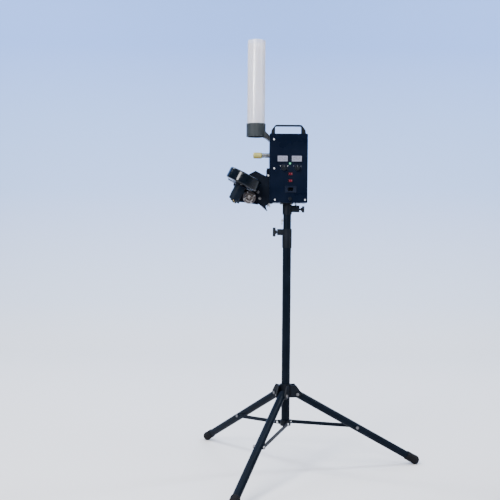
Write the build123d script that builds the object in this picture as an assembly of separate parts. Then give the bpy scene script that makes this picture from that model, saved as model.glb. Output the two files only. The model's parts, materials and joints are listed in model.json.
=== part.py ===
from build123d import *
import os
from math import atan2, cos, degrees, hypot, radians, sin

# A baseball pitching machine on a folding tripod.
# Origin: the mast's axis where it meets the floor. +Z is up, the ball is thrown towards -X and up,
# and the control panel faces -Y. All sizes are in millimetres.

CLEAR = 0.3            # gap between sliding tubes
RUN = 0.05             # radial clearance of a pin or shaft that turns
HEX_R = 7.5            # corner radius of an M8 hexagon
BASE = (Align.CENTER, Align.CENTER, Align.MIN)
X_AXIS, Y_AXIS, Z_AXIS = (1, 0, 0), (0, 1, 0), (0, 0, 1)

# Tripod
LEG_AZIMUTHS = {"right": 8, "left": 128, "front": -112}
FOOT_CIRCLE_R = 606
FOOT_BALL_R = 21
FOOT_CENTRE_Z = 20
FOOT_SLEEVE_OD, FOOT_SLEEVE = 40, 46
LEG_OD, LEG_ID = 34, 31
LEG_ABOVE_PIVOT, LEG_SHORT_OF_FOOT = 12, 8
HUB_PIVOT_R, HUB_PIVOT_Z = 50, 337
HUB_BOTTOM_Z, HUB_TOP_Z = 323, 381
HUB_BARREL_OD = 52
HUB_CHEEK = 5
HUB_CHEEK_IN = 17.4       # inner face of a cheek, measured from the leg's centre plane
RING_PIVOT_R, RING_PIVOT_Z = 28, 207
STRUT_WIDTH, STRUT_THICK = 16, 4
STRUT_SIDE = LEG_OD / 2 + 0.5      # inner face of the strut, measured from the leg's centre plane
PIVOT_BOLT = 8
RING_PIN = 6

LEG_RUN = FOOT_CIRCLE_R - HUB_PIVOT_R
LEG_DROP = HUB_PIVOT_Z - FOOT_CENTRE_Z
LEG_LENGTH = hypot(LEG_RUN, LEG_DROP)
LEG_DIR = Vector(LEG_RUN / LEG_LENGTH, 0, -LEG_DROP / LEG_LENGTH)
LEG_PIVOT = Vector(HUB_PIVOT_R, 0, HUB_PIVOT_Z)
STRUT_END = LEG_PIVOT + LEG_DIR * (LEG_LENGTH / 2)

# Mast
LOWER_OD, LOWER_ID = 38, 35.6
LOWER_BOTTOM_Z, LOWER_TOP_Z = 198, 1046
UPPER_OD, UPPER_ID = 35, 32
UPPER_BOTTOM_Z, UPPER_TOP_Z = 430, 1180
COLLAR_OD = 43
COLLAR_BOTTOM_Z, COLLAR_TOP_Z = 991, 1075
COLLAR_SCREW_Z = 1061
COLLAR_KNOB_X, COLLAR_KNOB_OD, COLLAR_KNOB_WIDTH = -64, 42, 13
CLAMP_SCREW = 8
SCREW_GAP = 0.2        # between a clamp screw's tip and the tube
LOCK_PIN, LOCK_PIN_Z = 6, 1113
SOCKET_OD, SOCKET_BOTTOM_Z = 42, 1140
SOCKET_SCREW_Z = 1163
T_BAR_LENGTH = 28

# Housing
BOX_X0, BOX_X1 = -82, 86
BOX_Z0, BOX_Z1 = 1190, 1493
BOX_HALF_DEPTH = 55
WALL = 2
PANEL_Y = -BOX_HALF_DEPTH
LIP_WIDTH = 14
PANEL_SCREWS = [(-63, 1467), (-61, 1339.5), (-57, 1203), (75, 1203)]
HANDLE_TOP_Z, HANDLE_BAR, HANDLE_DEPTH = 1537.5, 6.5, 24
HANDLE_SCREW_X = (-67, 70)

# Control panel
METER_CENTRES = [(-24.5, 1383.6), (37.4, 1383.6)]
METER_W, METER_H = 48, 29
METER_CUT_W, METER_CUT_H, METER_RIM = 45, 26, 2.5
KNOB_CENTRES = [(-18, 1343), (40, 1343)]
KNOB_D, POT_SHAFT = 23, 6
LIGHT_CENTRE = (8, 1362)
ROCKER_CENTRES = [(10, 1317), (10, 1287)]
ROCKER_REST = 7
ROCKER_PIN, ROCKER_PIN_LENGTH = 2.4, 12
ROCKER_BEZEL_W, ROCKER_BEZEL_H, ROCKER_CUT_W, ROCKER_CUT_H = 21, 15, 19, 13
INLET_CENTRE = (11.6, 1249.6)
INLET_W, INLET_H, INLET_CUT_W, INLET_CUT_H = 50, 28, 28, 20
FUSE_CENTRE = (9, 1208)

# Feed tube and gate
TUBE_X, TUBE_OD, TUBE_ID = -142, 80, 76
TUBE_BOTTOM_Z, TUBE_TOP_Z = 1500, 1908
CUP_OD, CUP_THROAT, CUP_BOTTOM_Z, CUP_TOP_Z = 86, 77, 1484, 1541
GATE_Z, GATE_ROD, GATE_TIP_D = 1401, 20, 27
GATE_TIP_X0, GATE_TIP_X1 = -154, -114
GATE_ROD_END_X = -34
GATE_HOLE = 30
ACTUATOR_X0, ACTUATOR_X1, ACTUATOR_OD = -54, 44, 46

# Launcher: modelled lying flat with the ball path along -X, then tilted up about its own origin
LAUNCH_ANGLE = 27
LAUNCH_ORIGIN = (-193, 0, 1287.5)
LAUNCH = Plane(
    origin=LAUNCH_ORIGIN,
    x_dir=(cos(radians(LAUNCH_ANGLE)), 0, -sin(radians(LAUNCH_ANGLE))),
    z_dir=(sin(radians(LAUNCH_ANGLE)), 0, cos(radians(LAUNCH_ANGLE))),
)
WHEEL_Y, WHEEL_R, WHEEL_WIDTH = 105, 75, 50
RIM_R = 48
WHEEL_SHAFT = 8
TYRE_SHOULDER = 7
MOTOR_OD, MOTOR_LENGTH = 48, 67
SHEET = 3
FLOOR_TOP = -37
PLATE_TOP = -29
CHEEK_IN = 42
KICKER_A, KICKER_B = 55, -56.5
KICKER_GEAR_OD, KICKER_CAN_OD = 56, 38
KICKER_REACH, KICKER_SHAFT, KICKER_REST = 45, 8, 190
TILT_PIVOT = (-122.8, 1208.6)
TILT_LOCK = (-132, 1236)
TILT_BOLT = 8
TILT_DOWN, TILT_UP = 15, 5
BRACKET_IN, BRACKET_SHEET = 48, 3
LUG_SCREW, LUG_THICK = (-86.8, 1309), 2.4


def rod(start, direction, diameter, length):
    """A round bar from start, along direction."""
    return Plane(origin=start, z_dir=direction) * Cylinder(diameter / 2, length, align=BASE)


def pipe(start, direction, outer, inner, length):
    """A round tube from start, along direction."""
    return rod(start, direction, outer, length) - rod(start, direction, inner, length)


def block(x0, x1, y0, y1, z0, z1):
    """A box given by its faces."""
    centre = Pos((x0 + x1) / 2, (y0 + y1) / 2, (z0 + z1) / 2)
    return centre * Box(x1 - x0, y1 - y0, z1 - z0)


def plug(x, z, width, height, y0, y1):
    """A box centred at x and z, from y0 to y1."""
    return block(x - width / 2, x + width / 2, y0, y1, z - height / 2, z + height / 2)


def slab(face, y0, y1):
    """A face drawn in X and Z, made solid from y0 to y1."""
    side = Plane(origin=(0, y1, 0), x_dir=X_AXIS, z_dir=(0, -1, 0))
    return side * extrude(face, y1 - y0)


def outline(*points):
    return make_face(Polyline(*points, close=True))


def mirrored(solid):
    """The same piece on the other side of the ball's path."""
    return mirror(solid, about=Plane.XZ)


def at_leg(azimuth, *solids):
    return [Rot(0, 0, azimuth) * solid for solid in solids]


# ---------------------------------------------------------------- tripod

def strut_ring():
    """A cap on the mast's foot with one ear for each strut."""
    ring = rod((0, 0, LOWER_BOTTOM_Z - 3), Z_AXIS, 48, 24)
    ring -= rod((0, 0, LOWER_BOTTOM_Z), Z_AXIS, LOWER_OD, 24)
    ear_out = STRUT_SIDE - CLEAR
    ear = slab(
        outline((12, 198), (30, 198), (36, 204), (36, 211), (30, 217), (12, 217)),
        ear_out - 4,
        ear_out,
    )
    ear -= rod((0, 0, LOWER_BOTTOM_Z), Z_AXIS, LOWER_OD, 24)
    ear -= rod((RING_PIVOT_R, 0, RING_PIVOT_Z), Y_AXIS, RING_PIN, 40)
    for azimuth in LEG_AZIMUTHS.values():
        ring += at_leg(azimuth, ear)[0]
    return ring


def strut_ring_pin():
    """A rivet through the ear and the strut's inner eye, with a head outside."""
    inner = STRUT_SIDE - CLEAR - 4
    outer = STRUT_SIDE + STRUT_THICK + CLEAR
    start = (RING_PIVOT_R, inner, RING_PIVOT_Z)
    head = rod((RING_PIVOT_R, outer, RING_PIVOT_Z), Y_AXIS, 11, 3)
    return rod(start, Y_AXIS, RING_PIN, outer - inner) + head


def strut():
    """A flat bar from the ring to the middle of the leg."""
    run, rise = STRUT_END.X - RING_PIVOT_R, STRUT_END.Z - RING_PIVOT_Z
    middle = Pos((STRUT_END.X + RING_PIVOT_R) / 2, (STRUT_END.Z + RING_PIVOT_Z) / 2)
    bar = middle * Rot(0, 0, degrees(atan2(rise, run))) * SlotCenterToCenter(hypot(run, rise), STRUT_WIDTH)
    solid = slab(bar, STRUT_SIDE, STRUT_SIDE + STRUT_THICK)
    solid -= rod((RING_PIVOT_R, 0, RING_PIVOT_Z), Y_AXIS, RING_PIN + 2 * RUN, 40)
    return solid - rod((STRUT_END.X, 0, STRUT_END.Z), Y_AXIS, PIVOT_BOLT, 40)


def strut_bolt():
    """The bolt at the strut's outer end."""
    shank = rod((STRUT_END.X, STRUT_SIDE, STRUT_END.Z), Y_AXIS, PIVOT_BOLT, STRUT_THICK)
    hexagon = Pos(STRUT_END.X, STRUT_END.Z) * RegularPolygon(HEX_R, 6)
    return shank + slab(hexagon, STRUT_SIDE + STRUT_THICK, STRUT_SIDE + STRUT_THICK + 5.5)


def strut_nut():
    """The same bolt's nut, on the leg's other side."""
    hexagon = Pos(STRUT_END.X, STRUT_END.Z) * RegularPolygon(HEX_R, 6)
    nut = slab(hexagon, -LEG_OD / 2 - 6.5, -LEG_OD / 2 + 3)
    return nut - rod(LEG_PIVOT, LEG_DIR, LEG_OD, LEG_LENGTH)


def leg():
    """A round tube, bolted between the hub's cheeks."""
    start = LEG_PIVOT - LEG_DIR * LEG_ABOVE_PIVOT
    length = LEG_ABOVE_PIVOT + LEG_LENGTH - LEG_SHORT_OF_FOOT
    tube = pipe(start, LEG_DIR, LEG_OD, LEG_ID, length)
    across = (HUB_PIVOT_R, -40, HUB_PIVOT_Z)
    return tube - rod(across, Y_AXIS, PIVOT_BOLT + 2 * RUN, 80)


def foot():
    """A moulded rubber foot that slips over the leg, with a small flat to stand on."""
    centre = LEG_PIVOT + LEG_DIR * LEG_LENGTH
    sleeve = rod(centre - LEG_DIR * FOOT_SLEEVE, LEG_DIR, FOOT_SLEEVE_OD, FOOT_SLEEVE)
    cap = sleeve + Pos(*centre) * Sphere(FOOT_BALL_R)
    cap -= rod(centre - LEG_DIR * 60, LEG_DIR, LEG_OD, 52)
    return cap - block(0, 700, -60, 60, -40, 0)


def leg_hub():
    """A barrel that slides on the mast, with a pair of cheeks for each leg."""
    height = HUB_TOP_Z - HUB_BOTTOM_Z
    hub = rod((0, 0, HUB_BOTTOM_Z), Z_AXIS, HUB_BARREL_OD, height)
    side = outline((18, 323), (58, 323), (68, 333), (66, 347), (44, 378), (18, 378))
    cheek = slab(side, HUB_CHEEK_IN, HUB_CHEEK_IN + HUB_CHEEK)
    cheek -= rod((HUB_PIVOT_R, 0, HUB_PIVOT_Z), Y_AXIS, PIVOT_BOLT, 40)
    for azimuth in LEG_AZIMUTHS.values():
        for piece in at_leg(azimuth, cheek, mirrored(cheek)):
            hub += piece
    return hub - rod((0, 0, 300), Z_AXIS, LOWER_OD + 2 * CLEAR, 100)


def leg_hub_bolt():
    """A leg's pivot bolt, with its head on one cheek and its nut on the other."""
    outer = HUB_CHEEK_IN + HUB_CHEEK
    hexagon = Pos(HUB_PIVOT_R, HUB_PIVOT_Z) * RegularPolygon(HEX_R, 6)
    shank = rod((HUB_PIVOT_R, -outer, HUB_PIVOT_Z), Y_AXIS, PIVOT_BOLT, 2 * outer)
    return shank + slab(hexagon, outer, outer + 5) + slab(hexagon, -outer - 5, -outer)


def tripod():
    nodes = {"strut_ring": [strut_ring()], "leg_hub": [leg_hub()]}
    nodes["strut_ring_pins"] = []
    nodes["leg_hub_bolts"] = []
    for name, azimuth in LEG_AZIMUTHS.items():
        nodes["strut_ring_pins"] += at_leg(azimuth, strut_ring_pin())
        nodes["leg_hub_bolts"] += at_leg(azimuth, leg_hub_bolt())
        nodes[f"{name}_leg"] = at_leg(azimuth, leg())
        nodes[f"{name}_foot"] = at_leg(azimuth, foot())
        nodes[f"{name}_strut"] = at_leg(azimuth, strut())
        nodes[f"{name}_strut_bolt"] = at_leg(azimuth, strut_bolt())
        nodes[f"{name}_strut_nut"] = at_leg(azimuth, strut_nut())
    return nodes


# ---------------------------------------------------------------- mast

def lower_mast_tube():
    return pipe((0, 0, LOWER_BOTTOM_Z), Z_AXIS, LOWER_OD, LOWER_ID, LOWER_TOP_Z - LOWER_BOTTOM_Z)


def mast_collar():
    """The cast collar at the top of the lower tube, with a boss for its clamp screw."""
    body = rod((0, 0, COLLAR_BOTTOM_Z), Z_AXIS, COLLAR_OD, COLLAR_TOP_Z - COLLAR_BOTTOM_Z)
    boss = rod((-44, 0, COLLAR_SCREW_Z), X_AXIS, 28, 40)
    body += boss - rod((0, 0, COLLAR_TOP_Z), Z_AXIS, 80, 10)
    body -= rod((0, 0, COLLAR_BOTTOM_Z), Z_AXIS, LOWER_OD, COLLAR_TOP_Z - 3 - COLLAR_BOTTOM_Z)
    body -= rod((0, 0, COLLAR_BOTTOM_Z), Z_AXIS, UPPER_OD + 2 * CLEAR, 100)
    return body - rod((-60, 0, COLLAR_SCREW_Z), X_AXIS, CLAMP_SCREW + 2 * RUN, 50)


def mast_guide_bush():
    """A nylon bush that the upper tube slides in, pierced for the clamp screw."""
    length = COLLAR_TOP_Z - 3 - LOWER_TOP_Z
    bush = pipe((0, 0, LOWER_TOP_Z), Z_AXIS, LOWER_OD, UPPER_OD + 2 * RUN, length)
    return bush - rod((-60, 0, COLLAR_SCREW_Z), X_AXIS, CLAMP_SCREW + 2 * CLEAR, 60)


def collar_clamp_knob():
    """A round knob moulded on the clamp screw."""
    knob = rod((COLLAR_KNOB_X, 0, COLLAR_SCREW_Z), X_AXIS, COLLAR_KNOB_OD, COLLAR_KNOB_WIDTH)
    knob = fillet(knob.edges().filter_by(GeomType.CIRCLE), 3)
    neck = COLLAR_KNOB_X + COLLAR_KNOB_WIDTH
    for step in range(8):
        turn = radians(45 * step)
        centre = (-70, 23.5 * cos(turn), COLLAR_SCREW_Z + 23.5 * sin(turn))
        knob -= rod(centre, X_AXIS, 10, 30)
    knob += rod((neck, 0, COLLAR_SCREW_Z), X_AXIS, 18, 5)
    tip = -UPPER_OD / 2 - SCREW_GAP
    return knob + rod((neck, 0, COLLAR_SCREW_Z), X_AXIS, CLAMP_SCREW, tip - neck)


def upper_mast_tube():
    tube = pipe((0, 0, UPPER_BOTTOM_Z), Z_AXIS, UPPER_OD, UPPER_ID, UPPER_TOP_Z - UPPER_BOTTOM_Z)
    return tube - rod((-40, 0, LOCK_PIN_Z), X_AXIS, LOCK_PIN + 2 * RUN, 80)


def height_lock_pin():
    """A pin through the upper tube, with a wire pull ring."""
    pin = rod((-25, 0, LOCK_PIN_Z), X_AXIS, LOCK_PIN, 46)
    head = rod((-26, 0, LOCK_PIN_Z), X_AXIS, 10, 7)
    ring = Pos(-23.5, 0, LOCK_PIN_Z - 9) * Rot(90, 0, 0) * Rot(0, 78, 0) * Torus(10, 1.2)
    return pin + head + ring


def head_socket():
    """The socket under the housing that drops over the mast."""
    body = rod((0, 0, SOCKET_BOTTOM_Z), Z_AXIS, SOCKET_OD, BOX_Z0 - 4 - SOCKET_BOTTOM_Z)
    body += block(10, 54, -13, 13, 1150, 1180)
    body += block(-32, 24, -32, 32, BOX_Z0 - 4, BOX_Z0)
    body -= rod((0, 0, SOCKET_BOTTOM_Z), Z_AXIS, UPPER_OD + 2 * RUN, UPPER_TOP_Z + 0.5 - SOCKET_BOTTOM_Z)
    return body - rod((10, 0, SOCKET_SCREW_Z), X_AXIS, CLAMP_SCREW + 2 * RUN, 60)


def socket_clamp_knob():
    """A T-handled screw through the socket's boss."""
    start = UPPER_OD / 2 + SCREW_GAP
    screw = rod((start, 0, SOCKET_SCREW_Z), X_AXIS, CLAMP_SCREW, 66 - start)
    hub = rod((60, 0, SOCKET_SCREW_Z), X_AXIS, 15, 10)
    bar = Pos(71, 0, SOCKET_SCREW_Z) * Rot(18, 0, 0) * Cylinder(6, T_BAR_LENGTH)
    bar = fillet(bar.edges().filter_by(GeomType.CIRCLE), 2.5)
    return screw + hub + bar


# ---------------------------------------------------------------- housing

def housing_screws():
    """Panel, handle, bracket and socket screws: the same pan-head screw throughout."""
    screws = []
    for x, z in PANEL_SCREWS:
        screws.append(pan_screw((x, PANEL_Y, z), (0, 1, 0), 12))
    for x in HANDLE_SCREW_X:
        screws.append(pan_screw((x, 0, BOX_Z1 - WALL), Z_AXIS, 14))
    for y in (-30, 30):
        for z in (1215, 1330):
            screws.append(pan_screw((BOX_X0 - BRACKET_SHEET, y, z), X_AXIS, 10))
    lug_length = BRACKET_SHEET + LUG_THICK - CLEAR
    screws.append(pan_screw((LUG_SCREW[0], -BRACKET_IN - BRACKET_SHEET, LUG_SCREW[1]), Y_AXIS, lug_length))
    for x, y in ((-24, -24), (-24, 24), (16, -24), (16, 24)):
        screws.append(pan_screw((x, y, BOX_Z0 - 4), Z_AXIS, 12))
    return screws


def pan_screw(seat, inward, length):
    """A round-headed screw whose head sits on seat and whose shank goes inward."""
    outward = tuple(-c for c in inward)
    head = rod(seat, outward, 8, 2.6)
    head = fillet(head.edges().filter_by(GeomType.CIRCLE).sort_by(Axis(seat, outward))[-1], 1.4)
    tip = Vector(*seat) + Vector(*outward) * 3
    head -= rod(tip, inward, 2.4, 1.6)
    return head + rod(seat, inward, 4, length)


def socket_bolt():
    """The thin bolt between the socket's boss and the housing."""
    return rod((38, 0, 1180), Z_AXIS, 6, BOX_Z0 - 1180) + rod((38, 0, 1180), Z_AXIS, 10, 3)


def bracket_nut():
    """The plated wing nut and bolt that clamp the bracket under the housing's corner."""
    x, z = -84, BOX_Z0 - BRACKET_SHEET
    body = rod((x, -30, z), (0, 0, -1), 13, 9)
    wings = slab(outline((x - 9, z - 16), (x - 4, z - 17), (x, z - 7), (x + 4, z - 17), (x + 9, z - 16),
                         (x + 5, z - 3), (x - 5, z - 3)), -32, -28)
    return body + wings + rod((x, -30, z - 12), Z_AXIS, 5, 22)


def housing_shell():
    """The folded steel case: back, sides, top and bottom, with a lip for the panel."""
    y0, y1 = PANEL_Y + WALL, BOX_HALF_DEPTH
    shell = block(BOX_X0, BOX_X1, y0, y1, BOX_Z0, BOX_Z1)
    shell = fillet(shell.edges().filter_by(Axis.Y), 4)
    shell -= block(BOX_X0 + WALL, BOX_X1 - WALL, y0 + WALL, y1 - WALL, BOX_Z0 + WALL, BOX_Z1 - WALL)
    window = block(BOX_X0 + 30, BOX_X1 - LIP_WIDTH, y0 - 1, y0 + WALL, BOX_Z0 + 8, BOX_Z1 - LIP_WIDTH)
    shell -= fillet(window.edges().filter_by(Axis.Y), 4)
    shell -= rod((BOX_X0 - 5, 0, GATE_Z), X_AXIS, GATE_HOLE, 10)
    return shell


def front_panel():
    panel = block(BOX_X0, BOX_X1, PANEL_Y, PANEL_Y + WALL, BOX_Z0, BOX_Z1)
    panel = fillet(panel.edges().filter_by(Axis.Y), 4)
    y0, y1 = PANEL_Y - 5, PANEL_Y + 5
    for x, z in METER_CENTRES:
        panel -= plug(x, z, METER_CUT_W, METER_CUT_H, y0, y1)
    for x, z in KNOB_CENTRES:
        panel -= rod((x, y0, z), Y_AXIS, 9, 10)
    for x, z in ROCKER_CENTRES:
        panel -= plug(x, z, ROCKER_CUT_W, ROCKER_CUT_H, y0, y1)
    panel -= rod((LIGHT_CENTRE[0], y0, LIGHT_CENTRE[1]), Y_AXIS, 6, 10)
    panel -= rod((FUSE_CENTRE[0], y0, FUSE_CENTRE[1]), Y_AXIS, 12, 10)
    x, z = INLET_CENTRE
    return panel - plug(x, z, INLET_CUT_W, INLET_CUT_H, y0, y1)


def carry_handle():
    """A flat bridge handle: two posts and a thin bar over the finger gap."""
    x0, x1 = -76, 81
    side = outline(
        (x0, BOX_Z1), (x0 + 3, 1514), (x0 + 20, HANDLE_TOP_Z),
        (x1 - 20, HANDLE_TOP_Z), (x1 - 3, 1514), (x1, BOX_Z1),
    )
    upper = [v for v in side.vertices() if v.Y > BOX_Z1 + 1]
    side = fillet(upper, 16)
    gap_top = HANDLE_TOP_Z - HANDLE_BAR
    gap = Pos(1, (BOX_Z1 - 20 + gap_top) / 2) * RectangleRounded(116, gap_top - BOX_Z1 + 20, 6)
    handle = slab(side - gap, -HANDLE_DEPTH / 2, HANDLE_DEPTH / 2)
    long_edges = handle.edges().filter_by(GeomType.LINE).filter_by(Axis.X).sort_by(Axis.Z)[-2:]
    return fillet(long_edges, 2)


def speed_meters():
    """Two panel meters: a bezel outside and a body through the panel."""
    meters = []
    for x, z in METER_CENTRES:
        bezel = plug(x, z, METER_W, METER_H, PANEL_Y - METER_RIM, PANEL_Y)
        bezel = fillet(bezel.edges().filter_by(Axis.Y), 2)
        bezel += plug(x, z, METER_CUT_W, METER_CUT_H, PANEL_Y, PANEL_Y + 24)
        bezel -= plug(x, z, METER_W - 2 * METER_RIM, METER_H - 2 * METER_RIM, PANEL_Y - 3, PANEL_Y - 1)
        meters.append(bezel)
    return meters


def meter_windows():
    w, h = METER_W - 2 * METER_RIM, METER_H - 2 * METER_RIM
    return [plug(x, z, w, h, PANEL_Y - 2.2, PANEL_Y - 1) for x, z in METER_CENTRES]


def speed_potentiometers():
    pots = []
    for x, z in KNOB_CENTRES:
        pot = rod((x, PANEL_Y + WALL, z), Y_AXIS, 17, 10) + rod((x, PANEL_Y - 3, z), Y_AXIS, 9, 6)
        pots.append(pot - rod((x, PANEL_Y - 5, z), Y_AXIS, POT_SHAFT + 2 * RUN, 14))
    return pots


def speed_knob(x, z):
    """A fluted knob with a pointer line, and the spindle that it turns."""
    knob = rod((x, PANEL_Y - 1, z), (0, -1, 0), KNOB_D, 14)
    rim = knob.edges().filter_by(GeomType.CIRCLE).sort_by(Axis.Y)[0]
    knob = fillet(rim, 1.5)
    for step in range(12):
        turn = radians(30 * step + 15)
        groove = (x + 12.6 * cos(turn), PANEL_Y - 17, z + 12.6 * sin(turn))
        knob -= rod(groove, Y_AXIS, 4, 14)
    knob -= rod((x, PANEL_Y, z), (0, -1, 0), 15, 4.5)
    knob -= block(x - 0.7, x + 0.7, PANEL_Y - 15.6, PANEL_Y - 14.5, z + 2, z + 10)
    return knob + rod((x, PANEL_Y - 6, z), Y_AXIS, POT_SHAFT, 13)


def power_light():
    x, z = LIGHT_CENTRE
    bezel = rod((x, PANEL_Y - 1.5, z), Y_AXIS, 9, 1.5) + rod((x, PANEL_Y, z), Y_AXIS, 6, 12)
    return bezel + Pos(x, PANEL_Y - 1.5, z) * Sphere(2.8)


def switch_bodies():
    bodies = []
    for x, z in ROCKER_CENTRES:
        body = plug(x, z, ROCKER_BEZEL_W, ROCKER_BEZEL_H, PANEL_Y - 2, PANEL_Y)
        body = fillet(body.edges().filter_by(Axis.Y), 1)
        body += plug(x, z, ROCKER_CUT_W, ROCKER_CUT_H, PANEL_Y, PANEL_Y + 20)
        body -= plug(x, z, ROCKER_CUT_W - 1.4, ROCKER_CUT_H - 2, PANEL_Y - 3, PANEL_Y + 8)
        body -= rocker_pin(x, z, ROCKER_PIN + 2 * RUN)
        bodies.append(body)
    return bodies


def rocker_pin(x, z, diameter):
    return rod((x, PANEL_Y, z - ROCKER_PIN_LENGTH / 2), Z_AXIS, diameter, ROCKER_PIN_LENGTH)


def rocker(x, z):
    """A see-saw actuator on a pivot pin, resting with one end pressed in."""
    half = 8
    section = make_face(Polyline(
        (-half, 0), (-half, -4.4), (0, -2.8), (half, -4.4), (half, 0), (0, 5), close=True))
    key = Rot(0, 0, ROCKER_REST) * extrude(section, 10.2)
    return Pos(x, PANEL_Y, z - 5.1) * key + rocker_pin(x, z, ROCKER_PIN)


def power_inlet():
    """A mains inlet: flange, shrouded recess and three blades."""
    x, z = INLET_CENTRE
    flange = plug(x, z, INLET_W, INLET_H, PANEL_Y - 3, PANEL_Y)
    flange = fillet(flange.edges().filter_by(Axis.Y), 3)
    body = flange + plug(x, z, INLET_CUT_W, INLET_CUT_H, PANEL_Y, PANEL_Y + 25)
    body -= plug(x, z, INLET_CUT_W - 4, INLET_CUT_H - 4, PANEL_Y - 4, PANEL_Y + 19)
    for side in (-1, 1):
        body -= rod((x + side * 20, PANEL_Y - 4, z), Y_AXIS, 3.4, 5)
    for dx, dz in ((-7, 2), (7, 2), (0, -3)):
        body += plug(x + dx, z + dz, 2, 4, PANEL_Y + 5, PANEL_Y + 20)
    return body


def fuse_holder():
    x, z = FUSE_CENTRE
    body = rod((x, PANEL_Y, z), Y_AXIS, 12, 30) + rod((x, PANEL_Y - 8, z), Y_AXIS, 15, 8)
    return body - block(x - 5, x + 5, PANEL_Y - 9, PANEL_Y - 6.5, z - 0.8, z + 0.8)


def control_board():
    """The speed controller: board, pillars, heat sink and capacitors."""
    board = block(-72, 20, 30, 31.6, 1215, 1330)
    pieces = [board]
    for x in (-67, 15):
        for z in (1220, 1325):
            pieces.append(rod((x, 31.6, z), Y_AXIS, 6, BOX_HALF_DEPTH - WALL - 31.6))
    sink = block(-66, -20, 12, 30, 1232, 1300)
    for step in range(6):
        z = 1240 + 9.5 * step
        sink -= block(-70, -10, 10, 26, z, z + 5)
    pieces.append(sink)
    for z in (1235, 1265, 1295):
        pieces.append(rod((0, 30, z), (0, -1, 0), 18, 22))
    return pieces


def power_supply():
    """A caged mains supply on the back wall."""
    supply = block(-40, 78, 15, BOX_HALF_DEPTH - WALL, 1432, 1484)
    for step in range(8):
        x = -30 + 13 * step
        supply -= block(x, x + 6, 10, 17, 1440, 1476)
    return supply


# ---------------------------------------------------------------- feed

def tube_cup():
    """The moulded cup for the feed tube, with its arm to the housing."""
    height = CUP_TOP_Z - CUP_BOTTOM_Z
    cup = rod((TUBE_X, 0, CUP_BOTTOM_Z), Z_AXIS, CUP_OD, height)
    arm = make_face(
        Polyline((-140, 1484), (-120, 1505), (-99, 1506), (BOX_X0, 1488), (BOX_X0, 1462))
        + ThreePointArc((BOX_X0, 1462), (-104, 1479), (-140, 1484))
    )
    cup += slab(arm, -22, 22)
    cup -= rod((TUBE_X, 0, CUP_BOTTOM_Z - 5), Z_AXIS, CUP_THROAT, height + 10)
    cup -= rod((TUBE_X, 0, TUBE_BOTTOM_Z), Z_AXIS, TUBE_OD + 2 * RUN, height)
    return cup


def ball_tube():
    return pipe((TUBE_X, 0, TUBE_BOTTOM_Z), Z_AXIS, TUBE_OD, TUBE_ID, TUBE_TOP_Z - TUBE_BOTTOM_Z)


def gate_actuator():
    """A linear actuator on the housing's back wall."""
    body = rod((ACTUATOR_X0, 0, GATE_Z), X_AXIS, ACTUATOR_OD, ACTUATOR_X1 - ACTUATOR_X0)
    body += block(-30, 20, 10, BOX_HALF_DEPTH - WALL, GATE_Z - 14, GATE_Z + 14)
    body -= rod((ACTUATOR_X0, 0, GATE_Z), X_AXIS, 30, 12)
    return body - rod((ACTUATOR_X0, 0, GATE_Z), X_AXIS, 22, ACTUATOR_X1 - ACTUATOR_X0 - 6)


def gate_rod_bush():
    bush = rod((ACTUATOR_X0, 0, GATE_Z), X_AXIS, 30, 12) + rod((ACTUATOR_X0 - 3, 0, GATE_Z), X_AXIS, 38, 3)
    return bush - rod((ACTUATOR_X0 - 5, 0, GATE_Z), X_AXIS, GATE_ROD + 2 * RUN, 20)


def gate_rod():
    return rod((GATE_TIP_X1 - 10, 0, GATE_Z), X_AXIS, GATE_ROD, GATE_ROD_END_X - GATE_TIP_X1 + 10)


def gate_tip():
    """A soft bumper on the rod's end, which the next ball rests on."""
    tip = rod((GATE_TIP_X0, 0, GATE_Z), X_AXIS, GATE_TIP_D, GATE_TIP_X1 - GATE_TIP_X0)
    tip = fillet(tip.edges().filter_by(GeomType.CIRCLE), 6)
    return tip - rod((GATE_TIP_X1 - 10, 0, GATE_Z), X_AXIS, GATE_ROD, 20)


# ---------------------------------------------------------------- launcher

def launcher_bracket():
    """The fixed U bracket on the housing's left wall: pivot holes, arc slots and a thin tapped lug."""
    side = outline(
        (BOX_X0 - BRACKET_SHEET, 1190), (BOX_X0 - BRACKET_SHEET, 1341), (-94, 1341), (-94, 1316),
        (-100, 1300), (-139, 1262), (-139, 1197), (-118, 1179), (-92.5, 1157), (-97, 1176), (-85, 1187),
    )
    px, pz = TILT_PIVOT
    lx, lz = TILT_LOCK
    radius = hypot(lx - px, lz - pz)
    rest = degrees(atan2(lz - pz, lx - px))
    arc = CenterArc((px, pz), radius, rest - TILT_UP - 1, TILT_UP + TILT_DOWN + 2)
    side -= SlotArc(arc, TILT_BOLT + 0.6)
    side -= Pos(px, pz) * Circle(TILT_BOLT / 2 + RUN)
    plate = slab(side, -BRACKET_IN - BRACKET_SHEET, -BRACKET_IN)
    half = BRACKET_IN + BRACKET_SHEET
    back = block(BOX_X0 - BRACKET_SHEET, BOX_X0, -half, half, 1187, 1341)
    under = block(-108, -66, -half, half, BOX_Z0 - 3, BOX_Z0)
    lip = slab(outline((-117, 1182.2), (-117, 1178.2), (-91, 1154.5), (-88.5, 1157)), -half, half)
    x, z = LUG_SCREW
    lug = block(x - 5, BOX_X0, -BRACKET_IN, -BRACKET_IN + LUG_THICK, z - 6, z + 6)
    return plate + mirrored(plate) + back + under + lip + lug


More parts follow.
